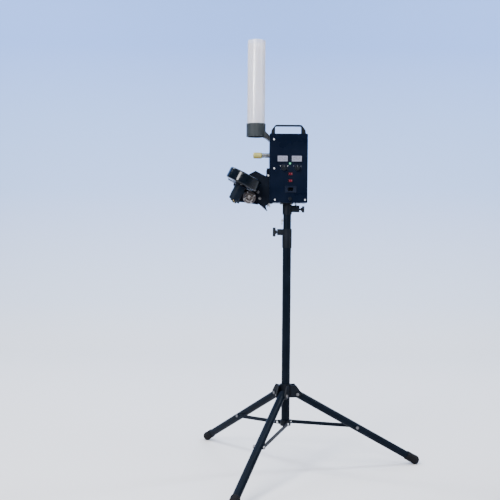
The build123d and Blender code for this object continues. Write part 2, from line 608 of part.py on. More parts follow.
def cheek_face(with_lobe):
    """One side of the cradle, drawn flat, notched where the wheel reaches through."""
    side = outline(
        (8, 28), (8, 37), (26, 61), (77, 61), (109, 0), (112, -30), (106, -56), (54, -52), (54, 28),
    )
    if with_lobe:
        side += Pos(KICKER_A, KICKER_B) * Circle(KICKER_GEAR_OD / 2)
        side += outline((18, -38), (18, -88), (28, -93), (45, -86), (74, -77), (103, -67), (106, -40))
    side += Pos(10, (FLOOR_TOP - SHEET + PLATE_TOP) / 2) * Rectangle(88, PLATE_TOP - FLOOR_TOP + SHEET)
    return side


def launcher_cradle():
    """The tilting sheet-steel cradle: floor, cheeks, back stop and the two motor plates."""
    outer = CHEEK_IN + SHEET
    near = slab(cheek_face(True), -outer, -CHEEK_IN)
    far = slab(cheek_face(False), CHEEK_IN, outer)
    near -= rod((KICKER_A, -60, KICKER_B), Y_AXIS, KICKER_SHAFT + 1, 30)
    floor = block(-34, 111, -outer, outer, FLOOR_TOP - SHEET, FLOOR_TOP)
    slot = block(3, 107, -8, 8, FLOOR_TOP - SHEET - 1, FLOOR_TOP + 1)
    stop = block(107.5, 110.5, -outer, outer, FLOOR_TOP - SHEET, -6)
    cradle = near + far + (floor - slot) + stop
    for sign in (-1, 1):
        low, high = sorted((sign * CHEEK_IN, sign * 134))
        plate = block(-34, 24, low, high, PLATE_TOP - SHEET, PLATE_TOP)
        plate -= rod((0, sign * WHEEL_Y, -60), Z_AXIS, 16, 60)
        cradle += plate
    cradle = LAUNCH * cradle
    for x, z in (TILT_PIVOT, TILT_LOCK):
        cradle -= rod((x, -60, z), Y_AXIS, TILT_BOLT, 120)
        for sign in (-1, 1):
            cradle -= rod((x, sign * CHEEK_IN, z), (0, -sign, 0), 15, 6)
    return cradle


def tilt_bolts():
    """Two pivot bolts and two lock bolts, each with a spacer between cradle and bracket."""
    inner = CHEEK_IN - 4
    seat = BRACKET_IN + BRACKET_SHEET + CLEAR
    bolts = []
    for x, z in (TILT_PIVOT, TILT_LOCK):
        shank = rod((x, -inner, z), (0, -1, 0), TILT_BOLT, seat - inner)
        nut = rod((x, -inner, z), (0, -1, 0), 14, 4)
        spacer = rod((x, -CHEEK_IN - SHEET, z), (0, -1, 0), 15, BRACKET_IN - CHEEK_IN - SHEET - CLEAR)
        head = rod((x, -seat, z), (0, -1, 0), 13, 5)
        rim = head.edges().filter_by(GeomType.CIRCLE).sort_by(Axis.Y)[0]
        bolt = shank + nut + spacer + fillet(rim, 1.5)
        bolts += [bolt, mirrored(bolt)]
    return bolts


def wheel_motors():
    """Two can motors under the motor plates, with a spigot in each plate."""
    motors = []
    for sign in (-1, 1):
        top = PLATE_TOP - SHEET
        can = rod((0, sign * WHEEL_Y, top), (0, 0, -1), MOTOR_OD, MOTOR_LENGTH)
        can = fillet(can.edges().filter_by(GeomType.CIRCLE), 2)
        can += rod((0, sign * WHEEL_Y, top), Z_AXIS, 16, 4.5)
        can += rod((0, sign * WHEEL_Y, top - MOTOR_LENGTH), (0, 0, -1), 20, 6)
        can -= rod((0, sign * WHEEL_Y, top - 30), Z_AXIS, WHEEL_SHAFT + 2 * RUN, 60)
        motors.append(LAUNCH * can)
    return motors


def wheel_tyre(sign):
    """A thick rubber tyre with rounded shoulders."""
    centre = (0, sign * WHEEL_Y, -WHEEL_WIDTH / 2)
    tyre = rod(centre, Z_AXIS, 2 * WHEEL_R, WHEEL_WIDTH)
    tyre = fillet(tyre.edges().filter_by(GeomType.CIRCLE), TYRE_SHOULDER)
    return LAUNCH * (tyre - rod(centre, Z_AXIS, 2 * RIM_R, WHEEL_WIDTH))


def wheel_hub(sign):
    """The aluminium rim, web and boss, on the motor's shaft."""
    y = sign * WHEEL_Y
    rim = pipe((0, y, -23), Z_AXIS, 2 * RIM_R, 2 * RIM_R - 8, 46)
    web = rod((0, y, -4), Z_AXIS, 2 * RIM_R - 4, 8)
    for step in range(5):
        turn = radians(72 * step)
        web -= rod((28 * cos(turn), y + 28 * sin(turn), -5), Z_AXIS, 16, 10)
    boss = rod((0, y, -20), Z_AXIS, 26, 40)
    shaft = rod((0, y, PLATE_TOP - SHEET - 24), Z_AXIS, WHEEL_SHAFT, 24 + 55)
    nut = extrude(Pos(0, y, 20) * RegularPolygon(HEX_R, 6), 6)
    return LAUNCH * (rim + web + boss + shaft + nut)


def kicker_motor():
    """The gearmotor on the near cheek: gearbox, can and end boss, with four cover screws."""
    face = -CHEEK_IN - SHEET
    centre = (KICKER_A, face, KICKER_B)
    body = rod(centre, (0, -1, 0), KICKER_GEAR_OD, 22)
    body = fillet(body.edges().filter_by(GeomType.CIRCLE).sort_by(Axis.Y)[0], 2)
    body += rod((KICKER_A, face - 22, KICKER_B), (0, -1, 0), KICKER_CAN_OD, 20)
    body += rod((KICKER_A, face - 42, KICKER_B), (0, -1, 0), 14, 3)
    for step in range(4):
        turn = radians(45 + 90 * step)
        spot = (KICKER_A + 23.5 * cos(turn), face - 22, KICKER_B + 23.5 * sin(turn))
        body += rod(spot, (0, -1, 0), 6, 2)
    return LAUNCH * (body - rod(centre, (0, -1, 0), KICKER_SHAFT + 2 * RUN, 16))


def kicker_arm():
    """A crank under the floor: it swings up through the slot and pushes the ball to the wheels."""
    inside = -CHEEK_IN - SHEET - 14
    shaft = rod((KICKER_A, inside, KICKER_B), Y_AXIS, KICKER_SHAFT, 6 - inside)
    hub = rod((KICKER_A, -6, KICKER_B), Y_AXIS, 20, 12)
    turn = radians(KICKER_REST)
    tip_a = KICKER_A + KICKER_REACH * cos(turn)
    tip_b = KICKER_B + KICKER_REACH * sin(turn)
    middle = Pos((KICKER_A + tip_a) / 2, (KICKER_B + tip_b) / 2)
    bar = slab(middle * Rot(0, 0, KICKER_REST) * SlotCenterToCenter(KICKER_REACH, 9), -3, 3)
    roller = rod((tip_a, -5.5, tip_b), Y_AXIS, 12, 11)
    return LAUNCH * (shaft + hub + bar + roller)


# ---------------------------------------------------------------- assembly

def mast():
    return {
        "lower_mast_tube": [lower_mast_tube()],
        "mast_collar": [mast_collar()],
        "mast_guide_bush": [mast_guide_bush()],
        "collar_clamp_knob": [collar_clamp_knob()],
        "upper_mast_tube": [upper_mast_tube()],
        "height_lock_pin": [height_lock_pin()],
        "head_socket": [head_socket()],
        "socket_clamp_knob": [socket_clamp_knob()],
    }


def housing():
    nodes = {
        "housing_shell": [housing_shell()],
        "front_panel": [front_panel()],
        "housing_screws": housing_screws() + [socket_bolt(), bracket_nut()],
        "carry_handle": [carry_handle()],
        "speed_meters": speed_meters(),
        "meter_windows": meter_windows(),
        "speed_potentiometers": speed_potentiometers(),
        "power_light": [power_light()],
        "switch_bodies": switch_bodies(),
        "power_inlet": [power_inlet()],
        "fuse_holder": [fuse_holder()],
        "control_board": control_board(),
        "power_supply": [power_supply()],
        "tube_cup": [tube_cup()],
        "ball_tube": [ball_tube()],
        "gate_actuator": [gate_actuator()],
        "gate_rod_bush": [gate_rod_bush()],
        "gate_rod": [gate_rod()],
        "gate_tip": [gate_tip()],
        "launcher_bracket": [launcher_bracket()],
    }
    for number, (knob, key) in enumerate(zip(KNOB_CENTRES, ROCKER_CENTRES), 1):
        nodes[f"speed_knob_{number}"] = [speed_knob(*knob)]
        nodes[f"rocker_switch_{number}"] = [rocker(*key)]
    return nodes


def launcher():
    nodes = {
        "launcher_cradle": [launcher_cradle()],
        "tilt_bolts": tilt_bolts(),
        "wheel_motors": wheel_motors(),
        "kicker_motor": [kicker_motor()],
        "kicker_arm": [kicker_arm()],
    }
    for name, sign in (("near", -1), ("far", 1)):
        nodes[f"{name}_wheel_tyre"] = [wheel_tyre(sign)]
        nodes[f"{name}_wheel_hub"] = [wheel_hub(sign)]
    return nodes


nodes = {**tripod(), **mast(), **housing(), **launcher()}
for name in ("housing_shell", "front_panel", "carry_handle", "head_socket", "launcher_bracket"):
    for screw in nodes["housing_screws"]:
        nodes[name] = [solid - screw for solid in nodes[name]]
os.makedirs("parts", exist_ok=True)
for name, solids in nodes.items():
    pieces = [piece for solid in solids for piece in solid.solids()]
    export_step(Compound(children=pieces), f"parts/{name}.step")
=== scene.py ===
import json
from math import atan2, cos, pi, radians, sin

import bmesh
import bpy
from mathutils import Matrix, Vector

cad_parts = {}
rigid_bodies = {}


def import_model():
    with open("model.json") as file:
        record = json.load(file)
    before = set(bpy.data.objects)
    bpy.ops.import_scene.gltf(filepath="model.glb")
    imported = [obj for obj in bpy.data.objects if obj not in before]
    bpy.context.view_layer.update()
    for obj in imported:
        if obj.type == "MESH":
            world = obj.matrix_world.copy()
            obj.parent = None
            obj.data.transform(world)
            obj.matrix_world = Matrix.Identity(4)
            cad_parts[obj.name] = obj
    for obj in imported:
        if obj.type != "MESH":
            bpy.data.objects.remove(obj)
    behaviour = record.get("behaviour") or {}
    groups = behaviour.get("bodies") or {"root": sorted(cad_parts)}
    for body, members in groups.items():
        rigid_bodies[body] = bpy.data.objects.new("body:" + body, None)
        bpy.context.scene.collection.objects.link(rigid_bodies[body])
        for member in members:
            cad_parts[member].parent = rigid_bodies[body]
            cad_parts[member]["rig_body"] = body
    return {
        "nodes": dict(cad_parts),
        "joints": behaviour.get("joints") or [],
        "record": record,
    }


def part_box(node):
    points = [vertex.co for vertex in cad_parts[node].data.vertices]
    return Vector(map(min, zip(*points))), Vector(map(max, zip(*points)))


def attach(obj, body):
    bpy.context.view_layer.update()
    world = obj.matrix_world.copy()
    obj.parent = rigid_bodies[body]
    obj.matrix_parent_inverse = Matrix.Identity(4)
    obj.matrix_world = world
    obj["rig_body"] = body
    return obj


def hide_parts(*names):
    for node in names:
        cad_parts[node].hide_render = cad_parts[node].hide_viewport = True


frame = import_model()
nodes = frame["nodes"]
joints = {joint["name"]: joint for joint in frame["joints"]}
mounts = {mount["name"]: mount for mount in frame["record"]["mounts"]}
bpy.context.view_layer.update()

# ---------------------------------------------------------------- the studio
# A pale seamless sweep under and behind the machine, lit by a large softbox at the left, a narrow
# strip that draws a bright line down the wheels and mast, and a weaker fill at the right.


def area_light(name, place, target, size, power, tint=(1, 1, 1)):
    """A soft rectangular light at place that faces target."""
    data = bpy.data.lights.new(name, "AREA")
    data.shape = "RECTANGLE"
    data.size, data.size_y = size
    data.energy = power
    data.color = tint
    lamp = bpy.data.objects.new(name, data)
    lamp.matrix_world = Matrix.Translation(place) @ (
        (Vector(target) - Vector(place)).to_track_quat("-Z", "Y").to_matrix().to_4x4())
    bpy.context.scene.collection.objects.link(lamp)


area_light("softbox", (-1.5, -2.2, 4.0), (0, 0, 1.1), (1.8, 1.8), 120)
area_light("strip", (-1.77, -2.49, 2.27), (-0.19, -0.1, 1.29), (0.55, 0.55), 75)
area_light("front", (-1.2, -3.9, 3.1), (0, 0, 1.2), (1.4, 1.4), 75)
area_light("fill", (3.2, -1.6, 1.8), (0, 0, 0.9), (1.6, 2.6), 50, (0.93, 0.96, 1.0))
area_light("backdrop_left", (-3.2, 1.3, 4.2), (-1.5, 4.6, 1.6), (2.6, 1.0), 310, (0.84, 0.91, 1.0))
area_light("backdrop_right", (3.2, 1.3, 4.2), (1.5, 4.6, 1.6), (2.6, 1.0), 310, (0.84, 0.91, 1.0))
area_light("overhead", (0, -0.6, 5.0), (0, 0.4, 0), (5.0, 3.0), 190, (0.96, 0.97, 1.0))

world = bpy.data.worlds.new("studio")
world.use_nodes = True
world.node_tree.nodes["Background"].inputs["Color"].default_value = (0.72, 0.82, 1.0, 1)
world.node_tree.nodes["Background"].inputs["Strength"].default_value = 0.16
bpy.context.scene.world = world

sweep_front, sweep_depth, sweep_radius, sweep_half_width, sweep_height = -9.0, 3.2, 1.6, 9.0, 7.0
bend_steps = 12
bm = bmesh.new()
section = [(sweep_front, 0.0), (sweep_depth, 0.0)]
for step in range(1, bend_steps + 1):
    turn = step / bend_steps * pi / 2
    section.append((sweep_depth + sweep_radius * sin(turn), sweep_radius * (1 - cos(turn))))
section.append((sweep_depth + sweep_radius, sweep_height))
line = [bm.verts.new((-sweep_half_width, y, z)) for y, z in section]
edges = [bm.edges.new(pair) for pair in zip(line, line[1:])]
grown = bmesh.ops.extrude_edge_only(bm, edges=edges)["geom"]
across = [v for v in grown if isinstance(v, bmesh.types.BMVert)]
bmesh.ops.translate(bm, verts=across, vec=(2 * sweep_half_width, 0, 0))
bmesh.ops.recalc_face_normals(bm, faces=bm.faces)
mesh = bpy.data.meshes.new("sweep")
bm.to_mesh(mesh)
bm.free()
mesh.shade_smooth()
sweep = bpy.data.objects.new("sweep", mesh)
bpy.context.scene.collection.objects.link(sweep)
paper = bpy.data.materials.new("backdrop_paper")
paper.use_nodes = True
tree = paper.node_tree
place = tree.nodes.new("ShaderNodeTexCoord")
split = tree.nodes.new("ShaderNodeSeparateXYZ")
rise = tree.nodes.new("ShaderNodeMapRange")
rise.inputs["From Max"].default_value = 3.0      # height at which the blue is full
tint = tree.nodes.new("ShaderNodeValToRGB")
tint.color_ramp.elements[0].color = (0.80, 0.79, 0.80, 1)
tint.color_ramp.elements[1].color = (0.20, 0.34, 0.74, 1)
tint.color_ramp.elements.new(0.12).color = (0.64, 0.70, 0.84, 1)
tint.color_ramp.elements.new(0.50).color = (0.38, 0.52, 0.84, 1)
tree.links.new(place.outputs["Object"], split.inputs[0])
tree.links.new(split.outputs["Z"], rise.inputs["Value"])
tree.links.new(rise.outputs[0], tint.inputs[0])
tree.links.new(tint.outputs[0], tree.nodes["Principled BSDF"].inputs["Base Color"])
tree.nodes["Principled BSDF"].inputs["Roughness"].default_value = 0.9
mesh.materials.append(paper)

# The camera stands 3.5 m in front of the panel at about chest height, a little left of the mast, and
# looks very slightly down. Its small roll is the lean that the standing mast shows.
camera_place = Vector((-0.167, -3.54, 1.066))
camera_yaw, camera_pitch, camera_roll = radians(0.04), radians(1.39), radians(0.45)
sensor_width, lens_in_frame_widths = 36, 1.586
camera_data = bpy.data.cameras.new("camera")
camera_data.sensor_width = sensor_width
camera_data.lens = sensor_width * lens_in_frame_widths
camera = bpy.data.objects.new("camera", camera_data)
camera.matrix_world = (
    Matrix.Translation(camera_place)
    @ Matrix.Rotation(-camera_yaw, 4, "Z")
    @ Matrix.Rotation(pi / 2 - camera_pitch, 4, "X")
    @ Matrix.Rotation(camera_roll, 4, "Z")
)
bpy.context.scene.collection.objects.link(camera)
bpy.context.scene.camera = camera

# ---------------------------------------------------------------- lower mast
# A welded steel tube, powder coated satin black. The coat has a fine orange peel, and the hub that
# slides on it has rubbed faint scuffs along it.


def effect(name, inputs, outputs):
    """A new node group with named sockets: returns the group, its input node and its output node."""
    group = bpy.data.node_groups.new(name, "ShaderNodeTree")
    for socket, kind, value in inputs:
        made = group.interface.new_socket(socket, in_out="INPUT", socket_type=kind)
        if value is not None:
            made.default_value = value
    for socket, kind in outputs:
        group.interface.new_socket(socket, in_out="OUTPUT", socket_type=kind)
    return group, group.nodes.new("NodeGroupInput"), group.nodes.new("NodeGroupOutput")


def noise(tree, vector, scale, detail, scale_from=None):
    """A noise pattern: its scale is a number, or comes from a socket."""
    node = tree.nodes.new("ShaderNodeTexNoise")
    node.inputs["Scale"].default_value = scale
    node.inputs["Detail"].default_value = detail
    tree.links.new(vector, node.inputs["Vector"])
    if scale_from is not None:
        tree.links.new(scale_from, node.inputs["Scale"])
    return node.outputs[0]


def remap(tree, value, low, high, to_low=0.0, to_high=1.0):
    """value from low..high to to_low..to_high, where each end is a number or a socket."""
    node = tree.nodes.new("ShaderNodeMapRange")
    ends = (("From Min", low), ("From Max", high), ("To Min", to_low), ("To Max", to_high))
    for socket, number in ends:
        if isinstance(number, (int, float)):
            node.inputs[socket].default_value = number
        else:
            tree.links.new(number, node.inputs[socket])
    tree.links.new(value, node.inputs["Value"])
    return node.outputs[0]


def arithmetic(tree, operation, first, second):
    """One sum on numbers or sockets."""
    node = tree.nodes.new("ShaderNodeMath")
    node.operation = operation
    for socket, value in zip(node.inputs, (first, second)):
        if isinstance(value, (int, float)):
            socket.default_value = value
        else:
            tree.links.new(value, socket)
    return node.outputs[0]


def blend_colours(tree, factor, first, second):
    """first where the factor is 0, second where it is 1."""
    node = tree.nodes.new("ShaderNodeMix")
    node.data_type = "RGBA"
    for socket, value in ((node.inputs[0], factor), (node.inputs[6], first), (node.inputs[7], second)):
        if isinstance(value, (int, float, tuple)):
            socket.default_value = value
        else:
            tree.links.new(value, socket)
    return node.outputs[2]


# Skin: a mottled colour and roughness, with a fine grain for the bump.
skin_effect, given, result = effect(
    "skin",
    [("Vector", "NodeSocketVector", None), ("Grain", "NodeSocketFloat", 900.0),
     ("Mottle", "NodeSocketFloat", 14.0), ("Deep", "NodeSocketColor", (0, 0, 0, 1)),
     ("Pale", "NodeSocketColor", (1, 1, 1, 1)), ("Smooth", "NodeSocketFloat", 0.3),
     ("Rough", "NodeSocketFloat", 0.5)],
    [("Colour", "NodeSocketColor"), ("Roughness", "NodeSocketFloat"), ("Height", "NodeSocketFloat")],
)
patches = noise(skin_effect, given.outputs["Vector"], 14, 5, given.outputs["Mottle"])
spread = remap(skin_effect, patches, 0.32, 0.68)
grain = noise(skin_effect, given.outputs["Vector"], 900, 2, given.outputs["Grain"])
colour = blend_colours(skin_effect, spread, given.outputs["Deep"], given.outputs["Pale"])
roughness = remap(skin_effect, spread, 0, 1, given.outputs["Smooth"], given.outputs["Rough"])
skin_effect.links.new(colour, result.inputs["Colour"])
skin_effect.links.new(roughness, result.inputs["Roughness"])
skin_effect.links.new(grain, result.inputs["Height"])

# Scuffs: sparse hairline scratches.
scuff_effect, given, result = effect(
    "scuffs",
    [("Vector", "NodeSocketVector", None), ("Density", "NodeSocketFloat", 60.0)],
    [("Mask", "NodeSocketFloat")],
)
hair = noise(scuff_effect, given.outputs["Vector"], 60, 6, given.outputs["Density"])
off_line = arithmetic(scuff_effect, "ABSOLUTE", arithmetic(scuff_effect, "SUBTRACT", hair, 0.5), 0)
thin = remap(scuff_effect, off_line, 0.0, 0.006, 1.0, 0.0)
where = remap(scuff_effect, noise(scuff_effect, given.outputs["Vector"], 9, 3), 0.56, 0.7)
scuff_effect.links.new(arithmetic(scuff_effect, "MULTIPLY", thin, where), result.inputs["Mask"])

# Dust: a soft film on what faces up.
dust_effect, given, result = effect(
    "dust", [("Vector", "NodeSocketVector", None)], [("Mask", "NodeSocketFloat")])
faces = dust_effect.nodes.new("ShaderNodeNewGeometry")
facing = dust_effect.nodes.new("ShaderNodeSeparateXYZ")
dust_effect.links.new(faces.outputs["Normal"], facing.inputs[0])
upward = remap(dust_effect, facing.outputs["Z"], 0.35, 1.0)
cloud = remap(dust_effect, noise(dust_effect, given.outputs["Vector"], 45, 6), 0.4, 0.75)
dust_effect.links.new(arithmetic(dust_effect, "MULTIPLY", upward, cloud), result.inputs["Mask"])


def use(tree, group, vector, **values):
    """Places an effect in a material and sets its inputs."""
    node = tree.nodes.new("ShaderNodeGroup")
    node.node_tree = group
    tree.links.new(vector, node.inputs["Vector"])
    for socket, value in values.items():
        node.inputs[socket].default_value = value
    return node


def bump(tree, shader, height, depth, after=None):
    """Feeds a height in metres to the shader's normal."""
    node = tree.nodes.new("ShaderNodeBump")
    node.inputs["Distance"].default_value = depth
    node.inputs["Strength"].default_value = 1.0
    tree.links.new(height, node.inputs["Height"])
    if after is not None:
        tree.links.new(after, node.inputs["Normal"])
    tree.links.new(node.outputs[0], shader.inputs["Normal"])


bare_scuff, dust_film = (0.10, 0.105, 0.115, 1), (0.32, 0.31, 0.29, 1)
coat_roughness, dust_roughness = 0.12, 0.4


def finish(name, deep, pale, smooth, rough, grain=900.0, depth=0.00004, mottle=14.0, metallic=0.0,
           scuffs=0.0, dust=0.0, coat=0.0, gloss=0.5):
    """A painted, moulded or plated surface: mottled skin, fine grain, hairline scuffs and dust."""
    material = bpy.data.materials.new(name)
    material.use_nodes = True
    tree = material.node_tree
    shader = tree.nodes["Principled BSDF"]
    shader.inputs["Metallic"].default_value = metallic
    shader.inputs["Coat Weight"].default_value = coat
    shader.inputs["Coat Roughness"].default_value = coat_roughness
    shader.inputs["Specular IOR Level"].default_value = gloss
    place = tree.nodes.new("ShaderNodeTexCoord").outputs["Object"]
    skin = use(tree, skin_effect, place, Grain=grain, Mottle=mottle, Deep=(*deep, 1), Pale=(*pale, 1),
               Smooth=smooth, Rough=rough)
    colour, roughness = skin.outputs["Colour"], skin.outputs["Roughness"]
    if scuffs:
        marks = arithmetic(tree, "MULTIPLY", use(tree, scuff_effect, place).outputs["Mask"], scuffs)
        colour = blend_colours(tree, marks, colour, bare_scuff)
    if dust:
        film = arithmetic(tree, "MULTIPLY", use(tree, dust_effect, place).outputs["Mask"], dust)
        colour = blend_colours(tree, film, colour, dust_film)
        rougher = arithmetic(tree, "MULTIPLY", film, dust_roughness)
        roughness = arithmetic(tree, "ADD", roughness, rougher)
    tree.links.new(colour, shader.inputs["Base Color"])
    tree.links.new(roughness, shader.inputs["Roughness"])
    bump(tree, shader, skin.outputs["Height"], depth)
    return material


def dress(material, *names):
    """Puts a finish on CAD pieces whose shape is kept."""
    for name in names:
        for slot in nodes[name].material_slots:
            slot.material = material


powder_coat = finish("powder_coat", (0.001, 0.003, 0.007), (0.003, 0.006, 0.012), 0.34, 0.48,
                     grain=1100, depth=0.00003, scuffs=0.2, dust=0.003, gloss=0.055)
dress(powder_coat, "lower_mast_tube")

# ---------------------------------------------------------------- strut ring
# A moulded nylon cap driven onto the foot of the mast. It has an ear for each strut, and a zinc-plated
# rivet through each ear.


def piece(name, bm, material, body, angle=35):
    """A finished mesh that rides on a body: smooth, with flat faces kept flat, and sharp past angle."""
    mesh = bpy.data.meshes.new(name)
    bm.to_mesh(mesh)
    bm.free()
    mesh.materials.append(material)
    mesh.shade_smooth()
    mesh.set_sharp_from_angle(angle=radians(angle))
    made = bpy.data.objects.new(name, mesh)
    bpy.context.scene.collection.objects.link(made)
    even = made.modifiers.new("even_normals", "WEIGHTED_NORMAL")
    even.keep_sharp = True
    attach(made, body)
    return made


body_of = {name: node["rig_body"] for name, node in nodes.items()}


def cad_copy(name):
    """The CAD piece's mesh as one closed shell with whole faces."""
    weld, flat_within = 2e-6, radians(0.6)
    bm = bmesh.new()
    bm.from_mesh(nodes[name].data)
    bmesh.ops.remove_doubles(bm, verts=bm.verts, dist=weld)
    bmesh.ops.dissolve_limit(bm, angle_limit=flat_within, verts=bm.verts, edges=bm.edges)
    return bm


def eased(name, material, width, angle=35):
    """The CAD piece with its sharp edges eased to a small radius, in place of the CAD mesh."""
    bm = cad_copy(name)
    sharp = [edge for edge in bm.edges
             if len(edge.link_faces) == 2 and edge.calc_face_angle() > radians(angle)]
    bmesh.ops.bevel(bm, geom=sharp, offset=width, affect="EDGES", segments=2, profile=0.5,
                    material=-1, clamp_overlap=True)
    made = piece(f"{name}_eased", bm, material, body_of[name], 50)
    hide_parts(name)


moulded_nylon = finish("moulded_nylon", (0.002, 0.004, 0.007), (0.005, 0.007, 0.012), 0.42, 0.58,
                       grain=1800, depth=0.00006, dust=0.015, gloss=0.12)
zinc_plate = finish("zinc_plate", (0.62, 0.63, 0.66), (0.84, 0.85, 0.88), 0.32, 0.50, grain=500,
                    depth=0.00001, mottle=90, metallic=1.0)
eased("strut_ring", moulded_nylon, 0.0008)
dress(zinc_plate, "strut_ring_pins")

# ---------------------------------------------------------------- leg hub
# A sliding barrel of glass-filled nylon with a pair of cheeks for each leg, and a bolt and nut through
# each pair, in a duller zinc than the pins.
eased("leg_hub", moulded_nylon, 0.0009)
dull_zinc = finish("dull_zinc", (0.10, 0.10, 0.11), (0.20, 0.20, 0.21), 0.34, 0.52, grain=800,
                   depth=0.00002, mottle=80, metallic=1.0)
dress(dull_zinc, "leg_hub_bolts")

# ---------------------------------------------------------------- legs
# Three powder-coated steel tubes, each drilled for its hub bolt. A bolt and nut join a flat steel strut
# to the middle of each, in the same dull zinc as the hub's.
for side in ("right", "left", "front"):
    dress(powder_coat, f"{side}_leg", f"{side}_strut")
    dress(dull_zinc, f"{side}_strut_bolt", f"{side}_strut_nut")

# ---------------------------------------------------------------- feet
# Moulded rubber caps, pushed over the ends of the legs and held by their own grip. Each has shallow
# ribs round it, and is a little dusty where it stands.
foot_ball, foot_sleeve, leg_radius, sleeve_back = 0.02098, 0.020, 0.017, -0.046
foot_centre_height, leg_end, mouth_round = 0.02, -0.008, 0.0012
rib_start, rib_depth, rib_pitch, rib_count = 0.006, 0.0011, 0.0062, 4


def placed(bm, start, axis):
    """Moves a shape made about +Z at the origin so that it stands on start along axis."""
    turn = Vector((0, 0, 1)).rotation_difference(Vector(axis)).to_matrix().to_4x4()
    bmesh.ops.transform(bm, matrix=Matrix.Translation(start) @ turn, verts=bm.verts)
    return bm


def turned(profile, start, axis, steps, closed=False):
    """Spins (radius, height) points about axis, from start."""
    bm = bmesh.new()
    line = [bm.verts.new((radius, 0, height)) for radius, height in profile]
    pairs = list(zip(line, line[1:]))
    if closed:
        pairs.append((line[-1], line[0]))
    edges = [bm.edges.new(pair) for pair in pairs]
    bmesh.ops.spin(bm, geom=line + edges, cent=(0, 0, 0), axis=(0, 0, 1), angle=2 * pi, steps=steps,
                   use_merge=True)
    bmesh.ops.remove_doubles(bm, verts=bm.verts, dist=1e-6)
    bmesh.ops.recalc_face_normals(bm, faces=bm.faces)
    return placed(bm, start, axis)


def corner(radius, height, size, start_degrees, end_degrees, count=5):
    """Points on a quarter-round, centred at (radius, height)."""
    points = []
    for step in range(count + 1):
        turn = radians(start_degrees + (end_degrees - start_degrees) * step / count)
        points.append((radius + size * cos(turn), height + size * sin(turn)))
    return points


foot_rubber = finish("foot_rubber", (0.003, 0.003, 0.005), (0.007, 0.007, 0.009), 0.62, 0.82,
                     grain=2600, depth=0.00008, mottle=60, dust=0.03, gloss=0.12)
foot_profile = [(0, leg_end), (leg_radius, leg_end), (leg_radius, sleeve_back)]
foot_profile += corner(foot_sleeve - mouth_round, sleeve_back + mouth_round, mouth_round, -90, 0)
for rib in range(rib_count):
    base = sleeve_back + rib_start + rib * rib_pitch
    foot_profile += [(foot_sleeve, base), (foot_sleeve - rib_depth, base + 0.0012),
                     (foot_sleeve - rib_depth, base + 0.0026), (foot_sleeve, base + 0.0038)]
foot_profile += [(foot_sleeve, -0.0075)]
foot_profile += corner(0, 0, foot_ball, -14, 90, 14)[1:-1] + [(0, foot_ball)]
for side in ("right", "left", "front"):
    pivot = Vector(joints[f"{side}_leg_fold"]["pos_m"])
    rest = Vector(mounts[f"{side}_foot_rest"]["pos_m"])
    centre = rest + Vector((0, 0, foot_centre_height))
    bm = turned(foot_profile, centre, centre - pivot, 48)
    cut = bmesh.ops.bisect_plane(bm, geom=bm.verts[:] + bm.edges[:] + bm.faces[:], plane_co=(0, 0, 0),
                                 plane_no=(0, 0, 1), clear_inner=True)["geom_cut"]
    bmesh.ops.edgeloop_fill(bm, edges=[e for e in cut if isinstance(e, bmesh.types.BMEdge)])
    bmesh.ops.recalc_face_normals(bm, faces=bm.faces)
    made = piece(f"{side}_foot_cap", bm, foot_rubber, f"{side}_leg")
    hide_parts(f"{side}_foot")

# ---------------------------------------------------------------- mast collar
# A moulded collar on the top of the lower tube, with a nylon guide bush inside and a lobed clamp knob
# screwed into the boss at its left.
eased("mast_collar", moulded_nylon, 0.0008)
white_nylon = finish("white_nylon", (0.62, 0.61, 0.58), (0.74, 0.73, 0.70), 0.35, 0.5, mottle=40)
dress(white_nylon, "mast_guide_bush")
knob_plastic = finish("knob_plastic", (0.002, 0.004, 0.007), (0.005, 0.007, 0.011), 0.28, 0.42,
                      grain=1500, depth=0.00004, dust=0.01, gloss=0.18)
eased("collar_clamp_knob", knob_plastic, 0.0006)

# ---------------------------------------------------------------- upper mast and lock pin
# The sliding inner tube has the same powder coat as the lower one. A zinc-plated pin with a pull ring
# goes through both tubes and sets the height.
dress(powder_coat, "upper_mast_tube")
dress(zinc_plate, "height_lock_pin")

# ---------------------------------------------------------------- head socket
# A black-painted casting under the housing that drops over the upper mast. A T-handled screw at its
# right clamps it, and lets the whole head be turned.
cast_black = finish("cast_black", (0.002, 0.004, 0.008), (0.005, 0.008, 0.014), 0.42, 0.58, grain=700,
                    depth=0.00012, mottle=30, scuffs=0.2, dust=0.01, gloss=0.12)
eased("head_socket", cast_black, 0.0008)
eased("socket_clamp_knob", knob_plastic, 0.0005)

# ---------------------------------------------------------------- housing
# A folded sheet-steel shell with a flat steel front panel, punched for the controls. Both are painted
# a smooth satin blue-black, and screws hold the panel to the shell's lips.
panel_paint = finish("panel_paint", (0.001, 0.003, 0.010), (0.003, 0.006, 0.016), 0.26, 0.36,
                     grain=1400, depth=0.00002, mottle=9, scuffs=0.2, dust=0.008, gloss=0.085)
eased("housing_shell", panel_paint, 0.0006)
eased("front_panel", panel_paint, 0.0004)

# ---------------------------------------------------------------- screws
# Zinc-plated pan heads with a cross recess: four in the panel, one in the bracket's lug, and the ones
# that hold the bracket and the socket. The wing nut under the corner is plated as well.
cross_long, cross_wide, cross_deep = 0.0046, 0.0011, 0.0028


